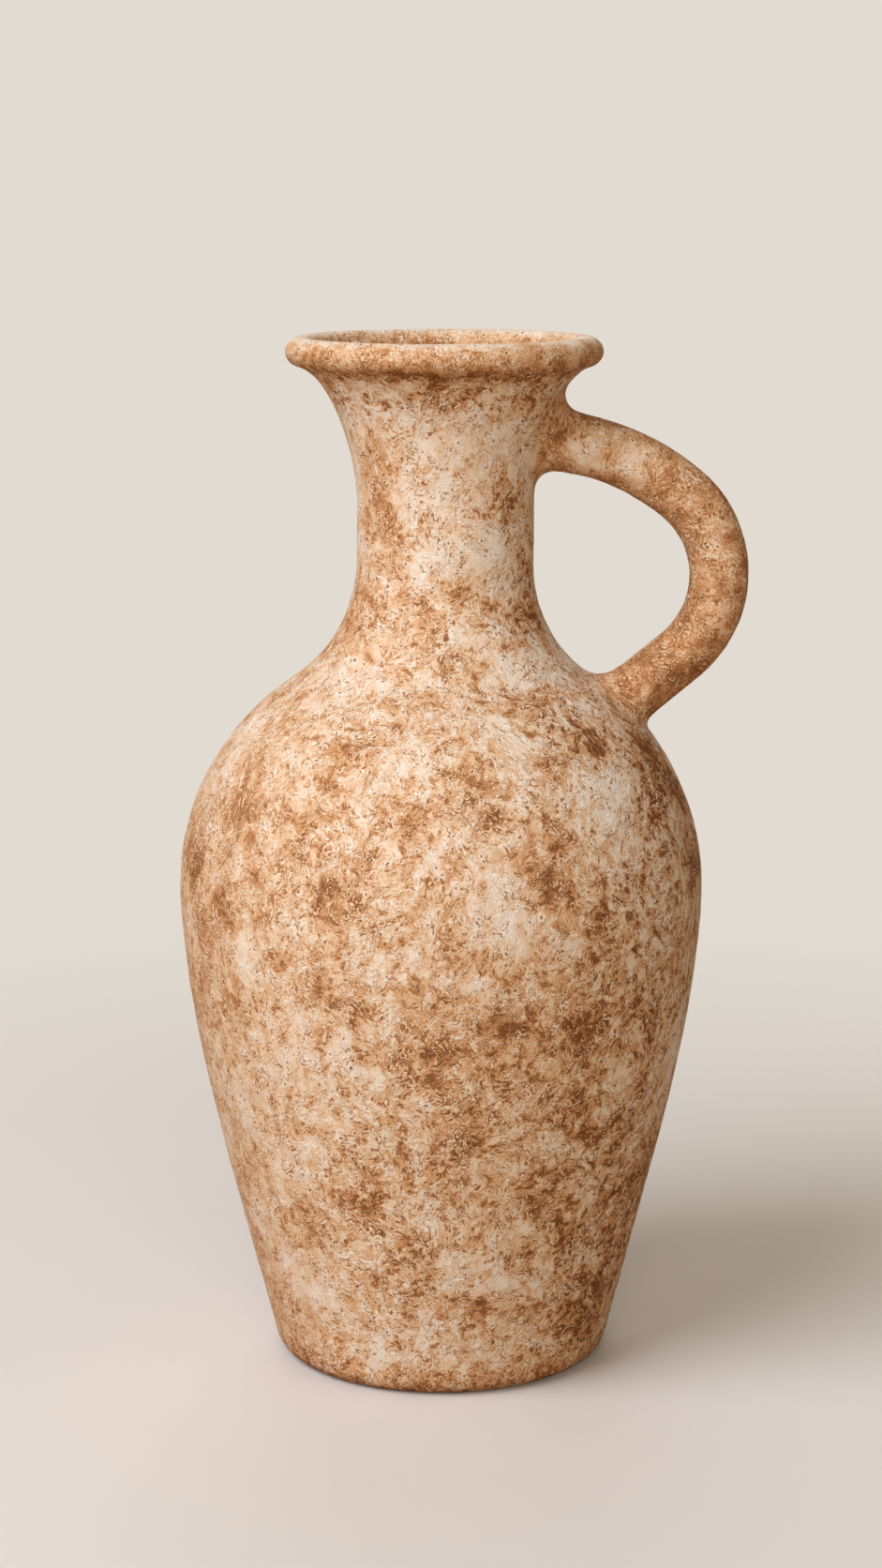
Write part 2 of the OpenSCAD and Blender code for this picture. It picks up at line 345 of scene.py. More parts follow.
# Patches placed on the photo's side: azimuth in degrees (the handle is at 0, the camera at -90),
# height and radius in millimetres, and strength in tenths, below 0 where the brown shows
DARK_PATCHES_AND_PAINTED_SHADE = (
    (-61, 138, 7, -3), (-69, 138, 6, -5), (-77, 139, 6, -6), (-57, 130, 6, -6), (-95, 150, 6, -3),
    (-90, 130, 7, -6), (-38, 135, 8, -4), (-81, 218, 5, -3), (-77, 208, 4, -7), (-97, 207, 7, -5),
    (-63, 201, 6, -7), (-90, 173, 5, -4), (-67, 186, 6, -8), (-58, 108, 5, -6), (-52, 94, 5, -4),
    (-43, 98, 7, -5), (-86, 102, 6, -6), (-50, 126, 6, -4), (-110, 72, 6, -5), (-111, 90, 4, -3),
    (-69, 54, 5, -5), (-56, 60, 6, -4), (-52, 172, 6, -3), (-30, 205, 8, -8), (-45, 228, 8, -5),
    (-115, 230, 6, -2), (-142, 174, 8, -6), (-143, 204, 8, -5), (-33, 310, 8, -3), (-33, 286, 6, -3),
    (-33, 267, 7, -5), (-100, 267, 5, -4), (-145, 308, 8, -4), (-131, 321, 6, -4), (-125, 291, 7, -4),
    (-58, 306, 7, -6), (-110, 258, 8, -3), (-75, 250, 5, -5), (-60, 242, 7, -5), (-45, 30, 10, -2),
    # The two wide patches at -36 degrees, low on the side towards the handle, are painted shade where the
    # light falls off
    (-90, 341, 6, -3), (-36, 62, 13, -3), (-36, 30, 13, -4), (-56, 162, 7, -4), (-111, 186, 6, -6),
    (-131, 186, 6, -3), (-121, 200, 6, -5), (-120, 216, 8, -4), (-114, 146, 6, -6), (-140, 138, 7, -4),
    (-80, 126, 5, -3), (-80, 78, 5, -4), (-80, 41, 6, -7), (-80, 18, 5, -5), (-130, 66, 6, -4),
    (-100, 126, 6, -5), (-60, 78, 6, -5), (-82, 211, 5, -4), (-150, 300, 8, -4), (-70, 270, 6, -4),
    (-61, 222, 5, -4), (-40, 221, 6, -4), (-90, 222, 5, -3),
)
PALE_PATCHES_AND_PAINTED_LIGHT = (
    (-77, 191, 5, 5), (-74, 174, 7, 7), (-64, 170, 6, 3), (-98, 186, 6, 4), (-108, 204, 7, 3),
    (-90, 198, 5, 4), (-86, 52, 6, 7), (-74, 47, 7, 6), (-62, 43, 6, 4), (-72, 67, 6, 5),
    (-110, 15, 8, 7), (-93, 30, 7, 4), (-74, 16, 6, 4), (-135, 156, 6, 7), (-120, 134, 8, 5),
    (-106, 115, 8, 4), (-113, 104, 7, 4), (-60, 90, 5, 4), (-130, 220, 9, 4), (-99, 222, 7, 5),
    (-72, 230, 8, 4), (-60, 210, 8, 4), (-120, 168, 6, 4), (-121, 89, 6, 5), (-45, 212, 9, 6),
    (-54, 252, 9, 6), (-75, 260, 6, 3), (-65, 97, 5, 3), (-130, 246, 12, 3), (-132, 78, 8, 5),
    # The wide patches at -143 and -146 degrees, low on the side away from the handle, are painted light on
    # the lit side
    (-118, 46, 10, 3), (-100, 246, 5, 4), (-100, 163, 6, 4), (-82, 152, 6, 4), (-143, 105, 15, 3),
    (-146, 54, 12, 4), (-98, 72, 6, 4), (-100, 306, 6, 5), (-90, 284, 6, 5), (-108, 334, 7, 4),
    (-68, 331, 7, 4), (-33, 318, 6, 3), (-129, 306, 5, 6), (-121, 234, 5, 6), (-110, 294, 6, 4),
    (-66, 294, 7, 4), (-50, 283, 6, 4), (-80, 187, 5, 4), (-100, 139, 5, 5), (-130, 37, 8, 4),
    (-90, 18, 6, 4), (-60, 18, 6, 4), (-125, 114, 8, 3), (-42, 114, 6, 4), (-50, 66, 6, 3),
)
# Patches scattered over the rest of the body, dark and pale by turns: limits of the same four values
SCATTER_SEED = 7
SCATTER_COUNT = 72
SCATTER_AZIMUTH = (-22, 205)
SCATTER_HEIGHT = (14, 340)
SCATTER_RADIUS = (5, 10)
SCATTER_STRENGTH = (3, 9)
# Patches on the handle's side towards the camera: share of its length from the neck, radius and strength.
# The strong pale ones near the neck are partly cream wash and partly painted light on the handle's top, where
# the lip and neck shade it
HANDLE_PATCHES_AND_PAINTED_LIGHT = (
    (0.10, 6, 18), (0.17, 6, 11), (0.24, 6, 13), (0.31, 6, 5), (0.43, 9, 5), (0.54, 6, 5),
    (0.61, 4, -3), (0.66, 5, 5), (0.72, 5, -5), (0.79, 5, 4), (0.85, 6, -7),
)
HANDLE_PATCH_Y = -9.0
# Patches on the roots: place and radius in millimetres, and strength
ROOT_PATCHES = (
    (38, -14, 331, 5, -8), (38, -14, 318, 5, -8), (33, -10, 325, 6, -5),
    (54.5, -18, 245, 3, 6), (63, -16, 240.5, 3, 8), (70, -12.5, 236.5, 3, 9), (74, -8, 231, 3.5, -14),
)
# The body's patches are this much stronger than their numbers say, and all patches this much wider
PATCH_GAIN = 1.65
PATCH_SPREAD = 1.25
TENTHS = 10
# The edges of the patches and of the bands of tone wander: size of the noise, and reach in millimetres
EDGE_SIZE = 9.0
EDGE_REACH = 7.0
BAND_REACH = 1.2

# Tone of the wash by height in millimetres, with painted light and shade: the pale neck is partly the cream
# wash and partly painted light from above, the crest of the lip carries a painted highlight, the foot's
# bottom edge and the roll's underside are darkened as painted shade, and the band under the lip is partly
# brown, partly painted shade
TONE_AND_PAINTED_LIGHT_BY_HEIGHT = (
    (0, -0.9), (6, -0.5), (14, -0.1), (70, -0.1), (130, 0.0), (215, 0.05), (245, 0.0), (262, 0.08),
    (285, 0.36), (324, 0.46), (332, 0.42), (338, 0.1), (347, -0.1), (349, -0.7), (351, -0.6),
    (354, -0.35), (358, -0.05), (359.5, 0.8), (361, 0.8),
)
# The inside, from these depths under the crest on, is darker than the outside of the body as painted shade in
# the mouth, and the handle is browner
INSIDE_SHADE_DEPTHS = (1.0, 9.0)
INSIDE_PAINTED_SHADE = 1.2
ROD_BROWN = 0.7

# How strongly the wash is torn and rubbed through, of 1 on most of the body: less on the handle, the lip
# and the side away from the handle, more on the side by the handle, under the lip and low on the body.
# By the handle and under the lip the stronger marks are partly painted shade: they stand in for the relief
# that grazing light shows on the shaded side
ROD_WEAR = 0.5
LIP_WEAR = 0.5
AWAY_WEAR = 0.7
# Stronger marks by the handle and under the lip: partly wear, partly painted shade of the relief
BY_HANDLE_WEAR_AND_SHADE = 1.75
LOW_WEAR = 1.3
# Where each of them sets in and is full: as the cosine of the azimuth, or as the height in millimetres
BY_HANDLE_COSINES = (0.35, 0.75)
AWAY_COSINES = (0.3, 0.75)
UNDER_LIP_HEIGHTS = (330.0, 338.0)
LOW_HEIGHTS = (150.0, 90.0)
LIP_HEIGHTS = (348.0, 353.0)

# Relief: height of the lumps in millimetres, their size and the seed, then the thin ridges between swirls
RELIEF_LUMPS = ((0.20, 42, 11), (0.10, 15, 12), (0.07, 6, 13), (0.05, 3.0, 14))
RIDGE_H = 0.07
RIDGE_SIZE = 4.6
RIDGE_SHARPNESS = 4.0
SWIRL_SIZE = 6.5
SWIRL_REACH = 2.2
# The relief rises from none on the ground to full between these heights, and is weaker on the lip
RELIEF_HEIGHTS = (0.5, 6.0)
LIP_BAND = 12.0
LIP_RELIEF = 0.6


def patch_list():
    """Places, radii and strengths of all the patches."""
    rng = np.random.default_rng(SCATTER_SEED)
    rows = list(DARK_PATCHES_AND_PAINTED_SHADE + PALE_PATCHES_AND_PAINTED_LIGHT)
    for k in range(SCATTER_COUNT):
        sign = 1 if k % 2 else -1
        azimuth = rng.uniform(*SCATTER_AZIMUTH)
        height = rng.uniform(*SCATTER_HEIGHT)
        radius = rng.uniform(*SCATTER_RADIUS)
        rows.append((azimuth, height, radius, sign * rng.uniform(*SCATTER_STRENGTH)))
    a, z, size, strength = np.array(rows, float).T
    a = np.radians(a)
    r = wall_radius(z)
    places = np.stack([r * np.cos(a) + shift(z), r * np.sin(a), z], 1)
    share, rod_size, rod_strength = np.array(HANDLE_PATCHES_AND_PAINTED_LIGHT).T
    rod_places = rod_point(share) + HANDLE_PATCH_Y * SIDE
    root = np.array(ROOT_PATCHES)
    return (
        np.concatenate([places, rod_places, root[:, :3]]),
        np.concatenate([size, rod_size, root[:, 3]]),
        np.concatenate([PATCH_GAIN * strength, rod_strength, root[:, 4]]) / TENTHS,
    )


PATCHES = patch_list()


def patches(points):
    """Sum of the soft patches at each point."""
    p = drifted(points, EDGE_SIZE, EDGE_REACH, (41, 42, 43))
    total = np.zeros(len(p))
    for centre, size, strength in zip(*PATCHES):
        d2 = np.sum((p - centre) ** 2, axis=1)
        total += strength * np.exp(-d2 / (PATCH_SPREAD * size) ** 2)
    return total


# Tone by height, with its painted shade along the foot and under the lip and its painted light on the neck
# and the lip's crest
def height_tone_and_painted_light(points):
    z = points[:, 2] + BAND_REACH * noise(points, EDGE_SIZE, 44)
    return np.interp(z, *zip(*TONE_AND_PAINTED_LIGHT_BY_HEIGHT))


def relief(points):
    """Height of the hand-worked surface over the smooth form, in millimetres."""
    swirl = drifted(points, SWIRL_SIZE, SWIRL_REACH, (21, 22, 23))
    ridge = 1 - np.minimum(1, np.abs(noise(swirl, RIDGE_SIZE, 24)) * RIDGE_SHARPNESS)
    return sum(height * noise(points, size, seed) for height, size, seed in RELIEF_LUMPS) + RIDGE_H * ridge


# Meshes

def make_mesh(name, vertices, faces, normals, tone, wear=1.0):
    mesh = bpy.data.meshes.new(name)
    mesh.from_pydata((vertices * MM).tolist(), [], faces)
    mesh.polygons.foreach_set("use_smooth", np.ones(len(mesh.polygons), bool))
    for key, values in (("tone", tone), ("wear", np.broadcast_to(wear, len(vertices)))):
        mesh.attributes.new(key, "FLOAT", "POINT").data.foreach_set("value", values.astype(np.float32))
    mesh.normals_split_custom_set_from_vertices(normals.tolist())
    mesh.update()
    obj = bpy.data.objects.new(name, mesh)
    bpy.context.scene.collection.objects.link(obj)
    return obj


def grid_normals(grid, closed_rows=False):
    """Outward normals of a grid that is closed round its second axis."""
    if closed_rows:
        along = np.roll(grid, -1, 0) - np.roll(grid, 1, 0)
    else:
        along = np.gradient(grid, axis=0)
    around = np.roll(grid, -1, 1) - np.roll(grid, 1, 1)
    return unit(np.cross(around, along))


def ring_faces(rows, steps, closed_rows):
    """Quads between rows of a grid that is closed round its steps, facing outwards."""
    i, j = np.meshgrid(np.arange(rows if closed_rows else rows - 1), np.arange(steps), indexing="ij")
    i2, j2 = (i + 1) % rows, (j + 1) % steps
    quads = np.stack([i * steps + j, i * steps + j2, i2 * steps + j2, i2 * steps + j], -1)
    return quads.reshape(-1, 4).tolist()


def closed_rings(name, grid, tone, normals, caps, cap_normals, wear=1.0):
    """Mesh of a grid closed round its steps, with a middle point at each end."""
    n, steps = grid.shape[:2]
    faces = ring_faces(n, steps, False)
    first, end, last = n * steps, n * steps + 1, (n - 1) * steps
    for j in range(steps):
        k = (j + 1) % steps
        faces.append([first, k, j])
        faces.append([end, last + j, last + k])
    vertices = np.concatenate([grid.reshape(-1, 3), caps])
    all_normals = np.concatenate([normals.reshape(-1, 3), cap_normals])
    return make_mesh(name, vertices, faces, all_normals, np.concatenate([tone.ravel(), [0, 0]]), wear)


def skin_grid():
    """The whole skin of the jug as rows of points, with where each stretch begins and ends."""
    line, spans = [], {}
    for name, points in STRETCHES:
        begin = len(line) - 1 if line else 0
        line.extend(points[1:] if line else points)
        spans[name] = (begin, len(line) - 1)
    line = np.array(line)
    way = unit(np.gradient(line, axis=0))
    out = np.stack([way[:, 1], -way[:, 0]], 1)
    a = np.linspace(0, 2 * math.pi, ROUND_STEPS, endpoint=False)
    ring = np.stack([np.cos(a), np.sin(a)], 1)
    base = np.empty((len(line), ROUND_STEPS, 3))
    base[..., :2] = line[:, 0, None, None] * ring
    base[..., 0] += shift(line[:, 1])[:, None]
    base[..., 2] = line[:, 1, None]
    normal = np.empty_like(base)
    normal[..., :2] = out[:, 0, None, None] * ring
    normal[..., 2] = out[:, 1, None]
    flat = base.reshape(-1, 3)
    keep = ease(flat[:, 2], *RELIEF_HEIGHTS) * np.where(flat[:, 2] > JUG_H - LIP_BAND, LIP_RELIEF, 1.0)
    height = (relief(flat) * keep).reshape(base.shape[:2])
    grid = base + normal * height[..., None]
    # Past the crest the inside is darkened with depth, as painted shade in the mouth; the tone by height,
    # with its painted light and shade, fades out there
    past_crest = np.arange(len(line)) > np.argmax(line[:, 1])
    inside_shade = np.where(past_crest, ease(JUG_H - line[:, 1], *INSIDE_SHADE_DEPTHS), 0.0)[:, None]
    tone = patches(flat).reshape(base.shape[:2]) - INSIDE_PAINTED_SHADE * inside_shade
    tone += height_tone_and_painted_light(flat).reshape(base.shape[:2]) * (1 - inside_shade)
    return grid, grid_normals(grid), tone, spans


SKIN, SKIN_NORMALS, SKIN_TONE, SPANS = skin_grid()


def skin_wear_and_shade(points):
    """How strongly the wash is worn at each point of the skin; by the handle and under the lip it is raised
    as painted shade of the relief.
    """
    x, y, z = points.T
    towards_handle = x / np.hypot(x, y)
    by_handle = ease(towards_handle, *BY_HANDLE_COSINES)
    away = ease(-towards_handle, *AWAY_COSINES)
    under_lip = ease(z, *UNDER_LIP_HEIGHTS)
    low = ease(z, *LOW_HEIGHTS) * (1 - away) * (1 - by_handle)
    wear = 1 + (BY_HANDLE_WEAR_AND_SHADE - 1) * np.maximum(by_handle, under_lip)
    wear = wear + (AWAY_WEAR - 1) * away * (1 - under_lip)
    wear = wear + (LOW_WEAR - 1) * low
    return wear + (LIP_WEAR - wear) * ease(z, *LIP_HEIGHTS)


def skin_rows(first, last):
    """Numbers of the skin's rows from the start of one stretch to the end of another."""
    return np.arange(SPANS[first][0], SPANS[last][1] + 1)


def skin_piece(name, *stretches):
    """A closed ring from stretches of the skin: the end of each is joined to the start of the next."""
    rows = np.concatenate([skin_rows(s, s) for s in stretches])
    faces = ring_faces(len(rows), ROUND_STEPS, True)
    flat = SKIN[rows].reshape(-1, 3)
    normals = SKIN_NORMALS[rows].reshape(-1, 3)
    return make_mesh(name, flat, faces, normals, SKIN_TONE[rows].ravel(), skin_wear_and_shade(flat))


def base_disc():
    """The disc under the wall: underside, foot edge and the floor inside, closed at its two middles."""
    rows = np.concatenate([skin_rows("underside", "foot"), skin_rows("floor", "floor")])
    middles = np.array([[0, 0, 0.0], [0, 0, SKIN[rows[-1], :, 2].mean()]])
    down_and_up = [[0, 0, -1.0], [0, 0, 1.0]]
    return closed_rings("base_disc", SKIN[rows], SKIN_TONE[rows], SKIN_NORMALS[rows], middles, down_and_up)


def root_points(start, heading, rho, phi, s):
    """Points at distance rho from a root's axis, at the angle phi from its top, s outwards along it."""
    rho, phi, s = np.broadcast_arrays(np.asarray(rho, float), phi, s)
    along = s[..., None] * heading_way(heading)
    upwards = (rho * np.cos(phi))[..., None] * heading_way(heading + 90)
    return start + along + upwards + (rho * np.sin(phi))[..., None] * SIDE


def wall_reach(start, heading, rho, phi):
    """How far along a root the wall is met, found by halving the stretch it lies in."""
    rho, phi = np.broadcast_arrays(np.asarray(rho, float), phi)
    low, high = (np.full(rho.shape, limit) for limit in REACH_LIMITS)
    for _ in range(HALVINGS):
        mid = (low + high) / 2
        p = root_points(start, heading, rho, phi, mid)
        outside = np.hypot(p[..., 0] - shift(p[..., 2]), p[..., 1]) > wall_radius(p[..., 2])
        low, high = np.where(outside, low, mid), np.where(outside, mid, high)
    return (low + high) / 2


def rod_radius(share):
    return np.interp(share, *zip(*ROD_RADII))


ROD_PHI = np.linspace(0, 2 * math.pi, ROD_STEPS, endpoint=False)


def displaced(grid, normals):
    """The grid with its relief, and the tone that the patches give it."""
    flat = grid.reshape(-1, 3)
    height = relief(flat).reshape(grid.shape[:2])
    return grid + normals * height[..., None], patches(flat).reshape(grid.shape[:2])


def handle_rod():
    """The bent rod, cut to the wall at both ends."""
    reach_0 = wall_reach(bend_0, HEAD_0, rod_radius(0.0), ROD_PHI) - ROD_SINK
    reach_2 = wall_reach(bend_2, HEAD_2 + 180, rod_radius(1.0), ROD_PHI) - ROD_SINK
    length = -reach_0.mean() + UPPER_RUN + OUTER_RUN - reach_2.mean()
    rows = []

    def row(place, heading, run):
        top = heading_way(heading + 90)
        ring = np.cos(ROD_PHI)[:, None] * top + np.sin(ROD_PHI)[:, None] * SIDE
        rows.append(place + rod_radius(run / length) * ring)

    for t in np.linspace(0, 1, ROD_END_ROWS[0]):
        s = reach_0 * (1 - t)
        row(bend_0 + s[:, None] * heading_way(HEAD_0), HEAD_0, t * -reach_0.mean())
    run = -reach_0.mean()
    bends = (
        (upper_c, UPPER_BEND_R, HEAD_0, UPPER_TURN, UPPER_RUN),
        (outer_c, OUTER_BEND_R, HEAD_1, OUTER_TURN, OUTER_RUN),
    )
    for centre, radius, head, turn, bend_run in bends:
        for t in np.linspace(0, 1, math.ceil(bend_run / ROD_STEP) + 1)[1:]:
            h = head - turn * t
            row(centre + radius * heading_way(h + 90), h, run + bend_run * t)
        run += bend_run
    for t in np.linspace(0, 1, ROD_END_ROWS[1])[1:]:
        s = reach_2 * t
        row(bend_2 + s[:, None] * heading_way(HEAD_2 + 180), HEAD_2, run - reach_2.mean() * t)
    grid = np.array(rows)[:, ::-1]
    grid, tone = displaced(grid, grid_normals(grid))
    caps = np.stack([grid[0].mean(0) + UPPER_CAP, grid[-1].mean(0) + LOWER_CAP])
    inwards = [[-1.0, 0, 0], [-1.0, 0, 0]]
    return closed_rings("handle_rod", grid, tone - ROD_BROWN, grid_normals(grid), caps, inwards, ROD_WEAR)


def root_fillet(name, start, heading, r, sizes):
    """Clay worked into the corner round a root: a hollow curve from the rod to the wall at every angle."""
    phi = ROD_PHI
    size = (sizes[0] + sizes[1]) / 2 + (sizes[0] - sizes[1]) / 2 * np.cos(phi)
    foot = wall_reach(start, heading, r, phi)
    toe = wall_reach(start, heading, r + size, phi)
    slope = (wall_reach(start, heading, r + size + SLOPE_STEP, phi) - toe) / SLOPE_STEP
    pull = FILLET_PULL * size
    inwards = pull / np.sqrt(1 + slope ** 2)
    p0 = np.stack([np.full_like(phi, r + FILLET_LIFT), foot + size], 1)
    p1 = p0 - np.stack([np.zeros_like(phi), pull], 1)
    p3 = np.stack([r + size, toe], 1)
    p2 = p3 - np.stack([inwards, inwards * slope], 1)
    curve = bezier_place(np.linspace(0, 1, FILLET_ROWS)[:, None, None], p0, p1, p2, p3)
    rod_end = np.stack([np.full_like(phi, r - FILLET_SINK), foot + size + FILLET_LAP], 1)
    toe_end = np.stack([r + size + FILLET_LAP, toe + FILLET_LAP * slope - FILLET_SINK], 1)
    heel = np.stack([r + size, toe - HEEL_DEPTH], 1)
    corner = np.stack([np.full_like(phi, r - HEEL_DEPTH), foot - CORNER_DEPTH], 1)
    section = np.concatenate([rod_end[None], curve, toe_end[None], heel[None], corner[None]])
    smooth = root_points(start, heading, section[..., 0], phi[None], section[..., 1])
    grid, tone = displaced(smooth, grid_normals(smooth, True))
    wall_share = np.clip((np.arange(len(section)) - 1) / (FILLET_ROWS - 1), 0, 1)[:, None]
    # The wall's side of the fillet takes the tone by height, with its painted light and shade
    wall_tone_and_painted_light = height_tone_and_painted_light(smooth.reshape(-1, 3)).reshape(tone.shape)
    tone += wall_tone_and_painted_light * wall_share - ROD_BROWN * (1 - wall_share)
    normals = grid_normals(grid, True)
    faces = ring_faces(len(section), ROD_STEPS, True)
    wear = np.broadcast_to(ROD_WEAR + (1 - ROD_WEAR) * wall_share, tone.shape)
    return make_mesh(name, grid.reshape(-1, 3), faces, normals.reshape(-1, 3), tone.ravel(), wear.ravel())


PIECES = {
    "base": base_disc(),
    "lower_body": skin_piece("lower_wall", "body", "body_inside"),
    "upper_body": skin_piece("shoulder_wall", "shoulder", "shoulder_inside"),
    "neck": skin_piece("neck_wall", "neck", "neck_inside"),
    "rim": skin_piece("lip_roll", "lip"),
    "handle": handle_rod(),
    "upper_root": root_fillet("upper_root_clay", bend_0, HEAD_0, rod_radius(0.0), UPPER_ROOT),
    "lower_root": root_fillet("lower_root_clay", bend_2, HEAD_2 + 180, rod_radius(1.0), LOWER_ROOT),
}


# Materials

def linear(r, g, b):
    """A colour from 0 to 255 as the values that the shader takes."""
    out = []
    for v in (r, g, b):
        v /= 255.0
        out.append(v / 12.92 if v <= 0.04045 else ((v + 0.055) / 1.055) ** 2.4)
    return (*out, 1.0)


# Colours of the wash by its level, from bare clay to the thickest cream
WASH_COLOURS = (
    (0.10, linear(109, 67, 41)),
    (0.28, linear(148, 101, 66)),
    (0.40, linear(182, 130, 86)),
    (0.50, linear(204, 160, 118)),
    (0.62, linear(217, 187, 156)),
    (0.78, linear(224, 208, 190)),
    (0.94, linear(230, 221, 211)),
)
HOOK_BROWN = linear(129, 76, 41)
PIT_BROWN = linear(110, 64, 34)
FLOOR_COLOUR = linear(213, 207, 201)
FLOOR_PALE = linear(219, 213, 207)
FLOOR_BOUNCE = linear(176, 150, 120)
BACKDROP = linear(226, 219, 210)

# Turns of the two fine waves over the range of their noise
WAVE_TURNS = 9
CURL_TURNS = 4
# How far the flakes and bites follow the wash, and the levels at which they set in and are full
MARKS_FOLLOW = 0.7
FLAKE_LEVELS = (0.774, 0.824)
BITE_LEVELS = (0.729, 0.684)
# Taken off the level, so that its middle falls on the middle of the wash's colours
LEVEL_SHIFT = 0.426
# Cells over this number, of 0 to 1, have a pit: its radius, and that of its pale ring, of the cell's size
PIT_CHOICE = 0.62
PIT_EDGE = (0.15, 0.09)
RING_RADIUS = 0.22
RING_WIDTH = 0.08
# Height of the fine surface in metres
BUMP_DISTANCE = 0.0006
# Distances from the jug's axis, in metres, between which the floor runs into the backdrop
FLOOR_FADE = (0.12, 0.75)


class Graph:
    """Shorthand for making a material's nodes."""

    def __init__(self, name):
        self.material = bpy.data.materials.new(name)
        self.material.use_nodes = True
        self.tree = self.material.node_tree
        self.tree.nodes.clear()

    def put(self, socket, value):
        if isinstance(value, bpy.types.NodeSocket):
            self.tree.links.new(value, socket)
        else:
            socket.default_value = value

    def node(self, kind, inputs=None, **settings):
        n = self.tree.nodes.new(kind)
        for key, value in settings.items():
            setattr(n, key, value)
        for key, value in (inputs or {}).items():
            self.put(n.inputs[key], value)
        return n

    def finish(self, surface):
        self.put(self.node("ShaderNodeOutputMaterial").inputs["Surface"], surface)
        return self.material

    def place(self):
        return self.node("ShaderNodeTexCoord").outputs["Object"]

    def attribute(self, name):
        return self.node("ShaderNodeAttribute", attribute_name=name, attribute_type="GEOMETRY").outputs["Fac"]

    def math(self, operation, *values):
        return self.node("ShaderNodeMath", dict(enumerate(values)), operation=operation).outputs[0]

    def vector(self, operation, *values):
        return self.node("ShaderNodeVectorMath", dict(enumerate(values)), operation=operation).outputs[0]

    def noise(self, vector, scale, detail, rough=0.55):
        inputs = {"Vector": vector, "Scale": scale, "Detail": detail, "Roughness": rough}
        return self.node("ShaderNodeTexNoise", inputs).outputs["Fac"]

    def bent(self, vector, scale, reach):
        """The place moved by up to about half the reach, another way at each spot."""
        inputs = {"Vector": vector, "Scale": scale, "Detail": 1.0}
        drift = self.node("ShaderNodeTexNoise", inputs).outputs["Color"]
        drift = self.vector("SUBTRACT", drift, (0.5, 0.5, 0.5))
        drift = self.node("ShaderNodeVectorMath", {0: drift, "Scale": reach}, operation="SCALE").outputs[0]
        return self.vector("ADD", vector, drift)

    def ease(self, value, low, high):
        n = self.node("ShaderNodeMapRange", {"Value": value, "From Min": low, "From Max": high})
        n.interpolation_type = "SMOOTHSTEP"
        return n.outputs["Result"]

    def ramp(self, value, stops):
        n = self.node("ShaderNodeValToRGB", {"Fac": value})
        e = n.color_ramp.elements
        while len(e) < len(stops):
            e.new(0.5)
        for item, (place, colour) in zip(e, stops):
            item.position = place
            item.color = colour
        return n.outputs["Color"]

    def mix(self, share, a, b):
        n = self.node("ShaderNodeMix", data_type="RGBA")
        self.put(n.inputs[0], share)
        self.put(n.inputs[6], a)
        self.put(n.inputs[7], b)
        return n.outputs[2]

    def sum(self, *terms):
        """Terms are (weight, value): the weighted sum."""
        total = None
        for weight, value in terms:
            term = self.math("MULTIPLY", value, weight)
            total = term if total is None else self.math("ADD", total, term)
        return total


